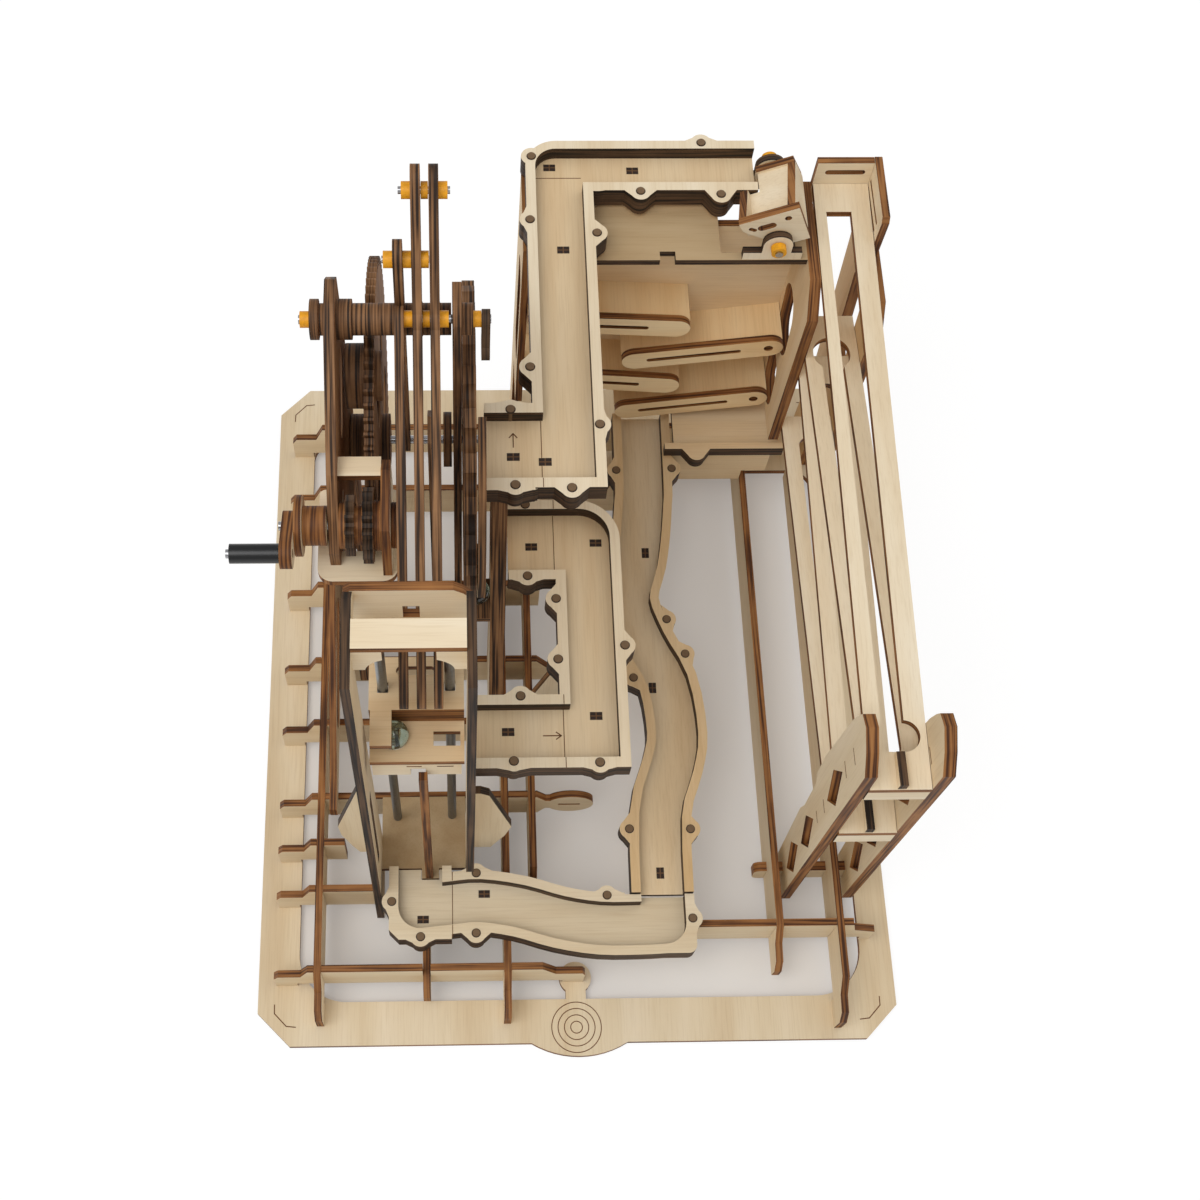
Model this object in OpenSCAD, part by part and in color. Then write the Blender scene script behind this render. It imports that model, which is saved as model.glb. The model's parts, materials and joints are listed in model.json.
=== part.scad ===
// Hand-cranked wooden marble run: laser-cut plywood plates on a slotted rib frame.
// Millimetres, +Z up. Plates are drawn from the front-left corner of the base and
// place() then moves everything so that the middle of the footprint is the origin.

/* [Plywood] */
// thickness of one sheet
ply = 3; // [2.98:0.01:3.02]
// thickness of a plate glued from two thinner sheets
twin = 4.4; // [4.38:0.01:4.42]
// side clearance of a half-lap slot
lap_gap = 0.1; // [0.08:0.01:0.15]
// radius of a steel pin
pin_r = 1.5; // [1.45:0.01:1.55]
// running clearance round a turning pin
run_gap = 0.06; // [0.05:0.01:0.08]
// radius of a marble
marble_r = 5; // [4.9:0.05:5]

/* [Base] */
// width of the base plate
base_w = 264; // [240:1:290]
// depth of the base plate
base_l = 310; // [306:1:312]
// cut corner of the base plate
base_cut = 13.5; // [12:0.5:15]
// radius of the round bulge in the front edge
bulge_r = 38.6; // [38.5:0.05:38.6]
// radius of the round head of the front tab
tab_r = 6.6; // [6.4:0.1:6.8]

/* [Ribs] */
// lower edge of the ribs between their feet
rib_bot = 7.3; // [7:0.1:8]
// height where crossing ribs meet
rib_mid = 18; // [17.5:0.1:18.5]
// upper edge of the ribs
rib_top = 28.4; // [28.35:0.01:28.45]

/* [Marble tracks] */
// half width of a track over its rails
track_r = 12.6; // [12.4:0.1:12.7]
// half width of the channel
channel_r = 8.8; // [8.6:0.1:9]
// radius of the ears that hold the rail pins
ear_r = 4; // [3.8:0.05:4]
// height of the rails above the floor
rail_h = 6; // [5.8:0.1:6.2]

/* [Gears] */
// gear module
gear_m = 1.5; // [1.5:0.01:1.5]
// teeth of the large drive gear
gear_teeth = 86; // [86:1:86]
// teeth of the crank pinion
pinion_teeth = 15; // [15:1:15]
// radius of the marble wheel
wheel_r = 57; // [56.5:0.1:57]
// marble pockets round the marble wheel
pockets = 24; // [20:1:26]

/* [Hidden] */
$fn = 48;
eps = 0.01;
back_max = 316.1;
bulge_c = [base_w / 2, 33.2];
front_min = bulge_c[1] - bulge_r;
mid_x = base_w / 2;
mid_y = (back_max + front_min) / 2;
frame_in_l = 16.5;
frame_in_r = base_w - 13;
frame_in_b = base_l - 45;
top_z = 174;
mid_z = 114;
front_z = rib_top + 0.1;
// right hand stand
br_x = base_w - 18.8;
bl_x = br_x - 26.3;
zz_x = [bl_x + twin + 0.2, br_x - 0.2];
slot_w = 8.8;
slot_x = (zz_x[0] + zz_x[1]) / 2;
box_r = bl_x - 0.1;
// long ribs: x centre, front end, back end, front foot, back foot
long_list = [[26, 8, base_l - 20, 1, 1], [69.8, 16.8, 96.6, 0, 0],
    [102.5, 8, base_l - 20, 1, 1], [113.8, 51, base_l - 30, 0, 1],
    [base_w - 50.3, 25.5, frame_in_b - 0.4, 0, 0], [base_w - 25.5, 4.4, frame_in_b - 6, 1, 0]];
// cross ribs: front face y, left end, right end, form of the right end
// (0 plain, 1 low foot, 2 round lobe, 3 narrow tongue)
cross_list = [[24.7, 7.5, 134.2, 1], [57.5, 7.5, 48.7, 0], [77, 7.5, 36, 0], [96.7, 7.5, 120, 2],
    [129.5, 7.5, 120, 0], [158, 7.5, 117.5, 3], [194, 7.5, 120, 0],
    [242, 7.5, 180, 0], [273.6, 7.5, br_x - 0.5, 0]];
right_rib_y = 41;
right_rib_x = [160, base_w - 9];
tie_y = 67;
tie_t = 4;
tie_z = [6, 17];
// drop box
box_l = 109.5;
box_back = 283;
fence_y = 262;
fence_r = 5.6;
bucket_c = [box_r - 12.8, 180.5];
bucket_tilt = 26;
// lift
leg_l = 48.7;
leg_r = 85.9;
lift_floor_z = rib_top;
rod_r = 1.75;
rods = [[58, 88], [80.5, 88.5]];
car_z = 165;
guide_z = 176;
cup = [61.6, 74.4];
// gear tower
wheel_c = [188.6, 169.2];
mesh_d = gear_m * (gear_teeth + pinion_teeth) / 2 + 0.1;
mesh_a = 39.05;
crank_c = [wheel_c[0] - mesh_d * cos(mesh_a), wheel_c[1] + mesh_d * sin(mesh_a)];
grip_c = [crank_c[0] - 12.8, crank_c[1] + 6.1];
top_c = [189, 247];
rock_p = [182.4, 257];
gear_x = 53;
gear_t = 3.4;
fl_x = 41.6;
fr_x = 82.3;
wheel_x = 85.7;
wood = [0.87, 0.76, 0.58];
pale = [0.93, 0.86, 0.72];
burnt = [0.42, 0.27, 0.15];
cap_col = [0.95, 0.65, 0.05];
steel = [0.7, 0.7, 0.72];
black = [0.05, 0.05, 0.05];

module place() {
    translate([-mid_x, -mid_y, 0]) children();
}
module yz(x, t) {
    translate([x, 0, 0]) rotate([90, 0, 90]) linear_extrude(t) children();
}
module xz(y, t) {
    translate([0, y + t, 0]) rotate([90, 0, 0]) linear_extrude(t) children();
}
module xy(z, t) {
    translate([0, 0, z]) linear_extrude(t) children();
}
// rounded rectangle with its own radius at the front and at the back
module rounded(x0, y0, x1, y1, r0, r1) {
    translate([x0 + r0, y0]) square([x1 - x0 - 2 * r0, r0 + eps]);
    translate([x0, y0 + r0]) square([x1 - x0, y1 - y0 - r0 - r1]);
    translate([x0 + r1, y1 - r1 - eps]) square([x1 - x0 - 2 * r1, r1 + eps]);
    for (x = [x0 + r0, x1 - r0]) translate([x, y0 + r0]) circle(r = r0);
    for (x = [x0 + r1, x1 - r1]) translate([x, y1 - r1]) circle(r = r1);
}
// straight strip with two round ends
module strip(a, b, r) {
    d = b - a;
    translate(a) rotate(atan2(d[1], d[0])) {
        circle(r = r);
        translate([norm(d), 0]) circle(r = r);
        translate([0, -r]) square([norm(d), 2 * r]);
    }
}
// smooth curve through a list of points, and the band of half width r along it
function bend(p, i, t) = let (a = p[max(i - 1, 0)], b = p[i], c = p[i + 1],
    d = p[min(i + 2, len(p) - 1)])
    0.5 * (2 * b + (c - a) * t + (2 * a - 5 * b + 4 * c - d) * t * t
        + (3 * b - a - 3 * c + d) * t * t * t);
function curve(p, n) = [for (i = [0 : len(p) - 2]) for (j = [0 : n - 1]) bend(p, i, j / n),
    p[len(p) - 1]];
function along(p, i) = p[min(i + 1, len(p) - 1)] - p[max(i - 1, 0)];
function beside(p, r) = [for (i = [0 : len(p) - 1]) let (d = along(p, i) / norm(along(p, i)))
    p[i] + r * [-d[1], d[0]]];
module chain(pts, r) {
    c = curve(pts, 3);
    left = beside(c, r);
    right = beside(c, -r);
    polygon(concat(right, [for (i = [len(left) - 1 : -1 : 0]) left[i]]));
}
module ears(pts, r) {
    for (p = pts) translate([p[0], p[1]]) circle(r = r);
}
// sloping shoulders of an ear that points along +X, e from the ear to the rail edge
module flare(e) {
    x = max(2.5, e + 0.9);
    y = sqrt(ear_r * ear_r - x * x) - 0.1;
    wide = 6.2 + 0.45 * (6.2 - y) / (x - e);
    polygon([[e - 0.45, -wide], [x, -y], [x, y], [e - 0.45, wide]]);
}
module round_ears(pts) {
    ears(pts, ear_r);
    for (p = pts) if (len(p) > 2) translate([p[0], p[1]]) rotate(p[2]) flare(p[3]);
}
module box2(x0, y0, x1, y1) {
    translate([x0, y0]) square([x1 - x0, y1 - y0]);
}
// disc or ring lying across the X direction
module disc_x(c, x0, x1, r, hole) {
    yz(x0, x1 - x0) difference() {
        translate(c) circle(r = r);
        if (hole > 0) translate(c) circle(r = hole, $fn = 24);
    }
}

// base
module base_plate() {
    color(wood) place() xy(0, ply) {
        difference() {
            union() {
                polygon([[base_cut, 0], [base_w - base_cut, 0], [base_w, base_cut],
                    [base_w, base_l - base_cut], [base_w - base_cut, base_l],
                    [base_cut, base_l], [0, base_l - base_cut], [0, base_cut]]);
                translate(bulge_c) circle(r = bulge_r, $fn = 96);
            }
            rounded(frame_in_l, 17.7, frame_in_r, frame_in_b, 20, 10);
            rounded(frame_in_l, 60, 110, base_l - 28, 10, 10);
        }
        box2(mid_x - 5.1, 15, mid_x + 3.2, 24);
        translate([mid_x - 1, 26.5]) circle(r = tab_r);
    }
}
module cross_profile(x0, x1, form) {
    left = [[x0 + 14.5, rib_top], [x0 + 11, 19.5], [x0 + 2, 19.5], [x0, 16], [x0, ply],
        [x0 + 8.8, ply], [x0 + 8.8, rib_bot]];
    right = form == 1 ? [[x1 - 8.8, rib_bot], [x1 - 8.8, ply], [x1, ply], [x1, 16],
            [x1 - 1.2, 19.5], [x1 - 12, 19.5], [x1 - 17.7, rib_top]]
        : form == 2 ? [[x1 - 3, rib_bot], [x1, 13.5], [x1 + 6, 13.5], [x1 + 6, 23], [x1, 23],
            [x1 - 4, rib_top]]
        : form == 3 ? [[x1 + 3, rib_bot], [x1 + 6, 10.5], [x1 + 14, 10.5], [x1 + 14, 20],
            [x1 + 5, 20.5], [x1, rib_top]] : [[x1, rib_bot], [x1, rib_top]];
    polygon(concat(left, right));
    if (form == 2) translate([x1 + 10.4, rib_top - 10]) circle(r = 9.8);
}
module cross_ribs() {
    color(wood) place() for (c = cross_list) xz(c[0], ply) difference() {
        union() {
            cross_profile(c[1], c[2], c[3]);
            if (c[0] > 265) box2(c[2] - 10, ply, c[2], rib_bot + eps);
        }
        for (l = long_list) if (l[1] < c[0] && l[2] > c[0] + ply)
            box2(l[0] - ply / 2 - lap_gap, rib_mid, l[0] + ply / 2 + lap_gap, rib_top + 1);
        if (c[3] == 2) strip([c[2] + 6, rib_top - 10], [c[2] + 14, rib_top - 10], 0.8);
    }
    color(wood) place() xz(right_rib_y, ply) difference() {
        polygon([[right_rib_x[0], rib_bot], [frame_in_r - 0.5, rib_bot], [frame_in_r - 0.5, ply],
            [right_rib_x[1], ply], [right_rib_x[1], 16], [base_w - 18, 19.5],
            [base_w - 20, rib_top],
            [right_rib_x[0], rib_top]]);
        for (l = [long_list[4], long_list[5]])
            box2(l[0] - ply / 2 - lap_gap, rib_mid, l[0] + ply / 2 + lap_gap, rib_top + 1);
    }
}
module long_ribs() {
    color(wood) place() for (l = long_list) yz(l[0] - ply / 2, ply) difference() {
        union() {
            polygon([[l[1], rib_bot], [l[2], rib_bot], [l[2], rib_top - 8], [l[2] - 7, rib_top],
                [l[1] + 16, rib_top], [l[1] + 10, rib_top - 7], [l[1] + 3, rib_top - 8],
                [l[1], rib_top - 14]]);
            if (l[3] == 1) box2(l[1], ply, min(l[1] + 11, 17), rib_bot + eps);
            if (l[4] == 1) box2(l[2] - 7, ply, l[2], rib_bot + eps);
        }
        for (c = cross_list) if (c[1] < l[0] && c[2] > l[0])
            box2(c[0] - lap_gap, 0, c[0] + ply + lap_gap, rib_mid);
        if (l[0] > 200) {
            box2(right_rib_y - lap_gap, 0, right_rib_y + ply + lap_gap, rib_mid);
            box2(tie_y - lap_gap, 0, tie_y + tie_t + lap_gap, tie_z[1]);
        }
    }
}
module tower_outrigger() {
    color(wood) place() yz(30, ply) difference() {
        polygon([[90, rib_top], [200, rib_top], [200, 60], [175, 72], [105, 40], [90, 36]]);
        strip([130, 40], [172, 52], 6);
    }
}

// right hand stand with four sloping tracks
module bracket_shape() {
    difference() {
        polygon([[58.5, 4], [57.2, 160], [57.2, 171], [64, 176.5], [71.8, 180], [77.5, 177.5],
            [78.8, 173.2], [80.3, 165], [83.3, 119.5], [82.6, 100.1], [79.6, 95.8],
            [78.6, 72], [80.1, 63.6], [77.2, 16], [76.5, 4]]);
        polygon([[74.7, 127.2], [69.4, 140.6], [61.8, 124.4], [67.9, 111.8]]);
        polygon([[74.2, 72.8], [68.9, 85.4], [61.5, 71.2], [67, 58.3]]);
        polygon([[73.3, 39.3], [68.1, 52], [60.6, 38.2], [66, 25.1]]);
        box2(tie_y - lap_gap, 0, tie_y + tie_t + lap_gap, tie_z[1]);
    }
}
module front_brackets() {
    color(wood) place() {
        yz(bl_x, twin) bracket_shape();
        yz(br_x, twin) bracket_shape();
    }
}
module bracket_tie_bar() {
    color(wood) place() xz(tie_y, tie_t) rounded(bl_x - 11.9, tie_z[0], br_x + 8, tie_z[1], 3, 3);
}
module end_plate(top) {
    xz(57, ply) box2(zz_x[0], top - 8, zz_x[1], top);
}
module front_end_plates() {
    color(pale) place() {
        end_plate(155);
        end_plate(103);
        stop_post(158);
        stop_post(106);
    }
}
module slope(y0, z0, y1, z1) {
    yz(zz_x[0], zz_x[1] - zz_x[0])
        polygon([[y0, z0 - ply], [y1, z1 - ply], [y1, z1], [y0, z0]]);
}
module slope_slot(y0, y1, w) {
    xy(0, 250) strip([slot_x, y0], [slot_x, y1], w / 2);
}
module zigzag_track_1() {
    color(pale) place() difference() {
        slope(57, 158, 299, 174.5);
        xy(0, 250) {
            polygon([[slot_x - 4.8, 76], [slot_x - 6.6, 286.2], [slot_x + 3.2, 286.2],
                [slot_x + 3.2, 76]]);
            translate([slot_x + 2.9, 76]) circle(r = 5.6);
            box2(slot_x - 4.8, 70.4, slot_x + 3.2, 77);
        }
    }
}
module zigzag_track_2() {
    color(pale) place() difference() {
        slope(60.2, 150, 267, 130.5);
        slope_slot(76, 246, slot_w);
        slope_slot(247.5, 248.5, 14.8);
    }
}
module zigzag_track_3() {
    color(pale) place() difference() {
        slope(57, 106, 255, 119.3);
        slope_slot(78, 238, slot_w);
        slope_slot(78, 80, 11.2);
    }
}
module zigzag_track_4() {
    color(pale) place() difference() {
        slope(64, 90.7, 251, 77.4);
        slope_slot(80, 236, slot_w);
    }
}
module stop_post(z) {
    yz(slot_x - 1.2, ply) polygon([[57.3, z + 0.07], [69.5, z + 0.9], [69.5, z + 4],
        [57.3, z + 4]]);
}
module back_support() {
    color(wood) place() yz(br_x, twin) difference() {
        union() {
            polygon([[243, 60], [243, 152], [252, 162.8], [300, 162.8], [300, 150],
                [290, 60], [292, ply], [268, ply], [264, 40]]);
        }
        strip([268, 105], [272, 140], 9);
    }
}
module track_end_walls() {
    color(pale) place() xz(299.1, ply) difference() {
        box2(zz_x[0] - 0.2, 163, br_x, 186.7);
        strip([slot_x - 6, 181.3], [slot_x + 7, 181.3], 1.3);
    }
    color(pale) place() yz(br_x + 0.1, ply) difference() {
        polygon([[273, 162.9], [272.5, 184.3], [274, 186.8], [302, 187], [302, 162.9]]);
        for (z = [168.4, 172.8, 177.2]) box2(277, z, 298, z + 1.5);
    }
}

// drop box with zig-zag ramps
module box_left_wall() {
    color(wood) place() yz(box_l, ply) difference() {
        polygon([[268, 63], [268, top_z], [305, top_z], [305, ply], [290, ply], [290, 63]]);
        strip([281, 92], [281, 140], 8);
    }
}
module box_right_wall() {
    color(wood) place() yz(box_r, twin) difference() {
        polygon([[245, 68], [245, 160], [256, 172], [302, 172], [302, ply], [285, ply], [285, 68]]);
        strip([266, 80], [268, 92], 9);
        strip([268, 118], [270, 132], 10);
    }
}
module box_back_wall() {
    color(wood) place() xz(box_back, ply) box2(box_l + ply, 56, box_r, 169);
}
module box_top() {
    color(wood) place() xy(169, ply) difference() {
        box2(box_l + ply, 265, box_r, 305);
        box2(162, 264, 168, 269);
        box2(bucket_c[0] - 20.5, 268.4, bucket_c[0] + 8.5, 300.6);
    }
}
module box_front_panel() {
    color(wood) place() xz(247, ply) {
        box2(179, rib_top + 0.2, base_w - 52, 55.95);
        box2(base_w - 52.1, 36.4, box_r + 4, 55.95);
    }
}
module box_channel() {
    color(wood) place() {
        xy(56, ply) box2(179, 247, box_r + 8, box_back);
        xy(56, 6) {
            box2(174.6, 244, box_r + 8, 247);
            translate([188.3, 242.4]) circle(r = ear_r);
            translate([188.3, 242.4]) rotate(-90) flare(-1.6);
        }
    }
}
ramp_list = [[[153, 103.6], [box_r, 115.3]], [[153.4, 62.6], [box_r, 75]],
    [[box_l + ply, 133.2], [178.6, 128.6]], [[box_l + ply, 92], [179.2, 84.4]]];
module board(a, b, t) {
    d = b - a;
    translate(a) rotate(atan2(d[1], d[0])) translate([0, -t / 2]) square([norm(d), t]);
}
module box_ramps() {
    color(wood) place() for (r = ramp_list) intersection() {
        xz(fence_y + ply, box_back - fence_y - ply) board(r[0], r[1], ply);
        translate([box_l + ply, 0, 0]) cube([box_r - box_l - ply, 400, 200]);
    }
}
module box_fences() {
    color(pale) place() for (r = ramp_list) intersection() {
        xz(fence_y, ply) difference() {
            d = (r[1] - r[0]) / norm(r[1] - r[0]);
            len = norm(r[1] - r[0]);
            hole = r[0][0] > 150 ? len - 6 : 6;
            strip(r[0] + d * fence_r, r[1] - d * fence_r, fence_r);
            strip(r[0] + d * (len / 2 - 22), r[0] + d * (len / 2 + 15), 1.1);
            translate(r[0] + d * hole) circle(r = 1.9, $fn = 24);
        }
        translate([box_l + ply, 0, 0]) cube([box_r - box_l - ply, 400, 200]);
    }
}
module tilted() {
    translate([bucket_c[0], 0, bucket_c[1]]) rotate([0, -bucket_tilt, 0]) children();
}
module bucket_side(outline) {
    difference() {
        union() {
            polygon(outline);
            circle(r = 5);
        }
        circle(r = pin_r + 0.02, $fn = 24);
    }
}
module bucket() {
    color(wood) place() tilted() {
        // floor, above the pivot
        xy(1.8, ply) {
            box2(-10.7, 272, 8.2, 288.5);
            box2(-4, 288.4, 8.2, 297);
        }
        difference() {
            xz(269, ply) bucket_side([[-10.7, 14.2], [-10.7, 9.4], [-5, 1.8], [-4, -2],
                [4, -5.5], [11.2, -5.5], [12.7, 14.2]]);
            xz(268, 5) {
                strip([-3.5, 8.4], [0.5, 8.4], 1.6);
                translate([7.2, 10]) circle(r = 1.3, $fn = 24);
                strip([-7.4, 9.6], [-6.4, 8.4], 0.9);
            }
        }
        difference() {
            xz(297, ply) bucket_side([[-4.4, 5.8], [-4.4, 0.5], [4, -5.5], [10.6, -5.5],
                [10.6, 5.8]]);
            xz(296, 5) strip([2.4, 3.6], [6.6, 3.6], 1.1);
        }
        yz(8.2, ply) polygon([[272, -4], [297, -4], [297, 6], [272, 14]]);
        yz(-10.7, ply) polygon([[272, 4.8], [288.5, 4.8], [288.5, 8], [272, 14]]);
    }
}
module bucket_pin() {
    color(steel) place() xz(261, 47) translate(bucket_c) circle(r = pin_r, $fn = 24);
}
module bucket_caps() {
    color(cap_col) place() for (y = [261.8, 304.5]) xz(y, ply) difference() {
        translate(bucket_c) circle(r = 2.9);
        translate(bucket_c) circle(r = pin_r + 0.02, $fn = 24);
    }
}
module bearing(y, x0, x1) {
    xz(y, ply) difference() {
        union() {
            box2(x0, 172, x1, 176.2);
            box2(bucket_c[0] - 5.6, 172, bucket_c[0] + 5.6, bucket_c[1]);
            translate(bucket_c) circle(r = 5.6);
        }
        translate(bucket_c) circle(r = pin_r + run_gap, $fn = 24);
    }
}
module bucket_bearings() {
    color(wood) place() {
        bearing(265.2, bucket_c[0] - 12.6, bucket_c[0] + 10);
        bearing(301.2, bucket_c[0] - 5.8, bucket_c[0] + 7.5);
    }
}

// marble tracks
// ears: x, y, direction, distance to the edge of the rail
top_ears = [[112, 276, 180, 1.2], [137.2, 269.8, 0, -0.7], [110.4, 210.8, 180, -0.4],
    [134.8, 186.7, 0, 1.7], [123.9, 161.1, -90, -0.2], [113.2, 305.7],
    [154.7, 289.1, -90, -0.4], [bucket_c[0] - 20.5, 287.6, -90, -1.9],
    [bucket_c[0] - 26.6, 312.1, 90, 1], [102.9, 193, 90, 2.6], [104, 162.4, -90, 2.1]];
middle_ears = [[106.4, 106, 90, 0.5], [103.4, 80.7, -90, 2.7], [120.8, 145.4, 180, -0.2],
    [120.8, 120.6, 180, -0.2], [146.1, 126, 0, 0.1], [134.8, 79.9, -90, 1.9],
    [110, 185.6, 90, 1.9], [110.2, 155, -90, 1.5]];
lower_ears = [[152.8, 79.5, 180, 0], [177.8, 79.2, 0, 0], [157.3, 144.2, 205.8, 0.2],
    [179.7, 154.6, 25.8, 0.2], [172.6, 170.2, 17.5, 0.4], [153.9, 240.2, 180, 0.8],
    [178.4, 240.9, 0, 0]];
front_ears = [[90.1, 62.2, 90, 1], [89.8, 37.7, -90, -0.3], [142.8, 52.4, 90, 1],
    [176.9, 42.6, 0, 1.1], [56, 50.9, 180, 1.1], [67.6, 36.5, -90, 1]];
lower_path = [[165.9, 280], [165.7, 234], [165.1, 224.7], [163.6, 210.5], [161.3, 196.8],
    [157.1, 179.5], [163.1, 160.5], [171.7, 142.7], [174.5, 120], [171.9, 106], [165.8, 85],
    [165.2, 40]];
front_path = [[165.4, 41.2], [155.6, 40.8], [139.5, 41], [123.5, 43.7], [107.6, 48.4],
    [91.5, 50.9], [80.3, 50.1], [67.5, 48.8]];
module front_band(r) {
    chain(front_path, r);
    rounded(165.4 - r, 41.2 - r, 165.4 + r, 60, r, 0.5);
    rounded(67.5 - r, 48.8 - r, 67.5 + r, 70, r, 0.5);
}
module top_outer() {
    box2(110.8, 161.3, 136.5, 300);
    rounded(110.8, 289.5, 150, 313.1, 1, 12);
    box2(130, 289.5, bucket_c[0] - 6, 313.1);
    box2(93.4, 160.3, 111, 195.6);
    round_ears(top_ears);
}
module top_inner() {
    box2(114.6, 165.2, 132.7, 300);
    rounded(114.6, 293.3, 150, 309.3, 1, 8);
    box2(130, 293.3, bucket_c[0] - 4.5, 309.3);
    box2(93, 165.2, 116, 191.6);
}
module middle_outer() {
    box2(120.9, 78, 146.2, 160);
    rounded(106, 153.5, 146.2, 187.5, 1, 17);
    box2(103, 153.5, 125, 187.5);
    box2(89.2, 78, 125, 106.5);
    round_ears(middle_ears);
}
module middle_inner() {
    box2(124.8, 82, 142.4, 160);
    rounded(108, 157.5, 142.4, 183.6, 1, 12);
    box2(102, 157.5, 125, 183.6);
    box2(89, 82, 126, 102.6);
}
module lower_outer() {
    intersection() {
        union() {
            chain(lower_path, track_r);
            round_ears(lower_ears);
        }
        box2(140, 53.5, 200, 268);
    }
}
module front_outer() {
    intersection() {
        union() {
            chain(front_path, track_r);
            rounded(165.4 - track_r, 41.2 - track_r, 165.4 + track_r, 60, 3.5, 0.5);
            polygon([[80.1, 70], [54.9, 70], [54.9, 39.4], [58.9, 35.4], [80.1, 35.4]]);
            round_ears(front_ears);
        }
        difference() {
            union() {
                box2(40, 20, 200, 52.6);
                box2(40, 50, 82, 65.4);
                box2(81, 50, 150, 66.5);
            }
            box2(67.8, 61.2, 75.2, 70);
        }
    }
}
module lower_tilt() {
    translate([0, 45, 30]) rotate([3.8, 0, 0]) translate([0, -45, 0]) children();
}
module track_floor(z, pts) {
    xy(z, ply) difference() {
        children();
        ears(pts, pin_r + 0.05, $fn = 32);
    }
}
module top_floor() {
    color(pale) place() track_floor(top_z, top_ears) top_outer();
}
module top_rails() {
    color(wood) place() xy(top_z + ply, rail_h) difference() {
        top_outer();
        top_inner();
        ears(top_ears, pin_r + 0.05, $fn = 32);
    }
}
module middle_floor() {
    color(pale) place() track_floor(mid_z, middle_ears) middle_outer();
}
module middle_rails() {
    color(wood) place() xy(mid_z + ply, rail_h) difference() {
        middle_outer();
        middle_inner();
        ears(middle_ears, pin_r + 0.05, $fn = 32);
    }
}
module lower_floor() {
    color(pale) place() lower_tilt() track_floor(0, lower_ears) lower_outer();
}
module lower_rails() {
    color(wood) place() lower_tilt() xy(ply, rail_h) difference() {
        lower_outer();
        chain(lower_path, channel_r);
        ears(lower_ears, pin_r + 0.05, $fn = 32);
    }
}
module front_floor() {
    color(pale) place() track_floor(front_z, front_ears) front_outer();
}
module front_rails() {
    color(wood) place() xy(front_z + ply, rail_h) difference() {
        front_outer();
        front_band(channel_r);
        ears(front_ears, pin_r + 0.05, $fn = 32);
    }
}
module rail_pins() {
    color(burnt) place() {
        xy(top_z, ply + rail_h + 0.6) ears(top_ears, pin_r, $fn = 32);
        xy(mid_z, ply + rail_h + 0.6) ears(middle_ears, pin_r, $fn = 32);
        lower_tilt() xy(0, ply + rail_h + 0.6) ears(lower_ears, pin_r, $fn = 32);
        xy(front_z, ply + rail_h + 0.6) ears(front_ears, pin_r, $fn = 32);
    }
}
module track_posts() {
    color(wood) place() {
        // twin column below the upper inlet
        yz(96, 6) polygon([[126, rib_top], [161, rib_top], [163, 90], [190, top_z],
            [173, top_z], [132, 60]]);
        // post below the middle track
        xz(129.5, ply) polygon([[105, rib_top], [119, rib_top], [142, 90], [142, mid_z],
            [124, mid_z], [122, 92]]);
        // post below the lower track
        xz(242, ply) difference() {
            polygon([[152, rib_top], [180, rib_top], [176, 42.9], [156, 42.9]]);
            translate([166, 35]) circle(r = 3);
        }
        // ledge that holds the waiting marble
        xy(107, ply) box2(90.6, 143, 96, 160);
        // guard beside the marble wheel
        yz(90.6, 2.7) difference() {
            translate(wheel_c) circle(r = 58, $fn = 96);
            translate(wheel_c) circle(r = 47, $fn = 96);
            box2(wheel_c[0] - 22, 80, 300, 260);
        }
    }
}

// lift
module lift_legs() {
    color(wood) place() {
        yz(leg_l, ply) difference() {
            polygon([[52.6, ply], [80, ply], [80, 36], [77, 105], [74, 236], [80, 241],
                [92, 241], [92, 248], [88, 252], [60, 250]]);
            strip([63, 60], [65, 130], 2.5);
        }
        yz(leg_r, ply) polygon([[68, ply], [82, ply], [82, 36], [77, 105], [74, 236], [80, 241],
            [92, 241], [92, 248], [88, 252], [60, 250], [55, 66], [68, 58]]);
        // pale wings on the outer faces of the legs
        xz(72, ply) polygon([[leg_l, 36], [leg_l, 120], [46.8, 120], [36.3, 72], [36.9, 61], [40.4, 45],
            [43, 36]]);
        xz(72, ply) polygon([[leg_r + ply, 41], [96, 41], [101.3, 57], [103.7, 69.2], [94.5, 109],
            [91.3, 111.8], [leg_r + ply, 111.8]]);
    }
}
module lift_panels() {
    color(pale) place() {
        xy(250, ply) box2(leg_l + ply, 71.5, leg_r, 81);
        // curved corner brackets below the top board
        xz(71.6, ply) difference() {
            box2(leg_l + ply, 236, leg_r, 250.5);
            translate([leg_l + ply + 13, 235]) circle(r = 9.4);
            translate([leg_r - 13, 235]) circle(r = 9.4);
            box2(leg_l + ply + 9, 235, leg_r - 9, 251);
        }
        // back board with a way through for the levers
        xz(92, ply) difference() {
            polygon([[leg_l, 224], [leg_r + ply, 224], [leg_r + ply, 240], [85, 246], [82, 248.5],
                [51, 248.5], [leg_l, 246]]);
            box2(66.4, 228.5, 71.6, 237);
        }
        // shelf that holds the tops of the rods
        xy(224, ply) box2(leg_l + ply, 84.5, leg_r, 93);
    }
}
module lift_floor() {
    color(wood) place() {
        xy(lift_floor_z, ply) {
            box2(leg_l + ply, 66, leg_r, 96.5);
            box2(68, 61.8, 75, 67);
        }
        // centre guide post
        xy(lift_floor_z + ply, 159 - lift_floor_z - ply) box2(69.6, 61.9, 72.6, 64.9);
    }
}
module lift_rods() {
    color(steel) place() xy(lift_floor_z + ply, 224 - lift_floor_z - ply) ears(rods, rod_r, $fn = 24);
}
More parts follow.
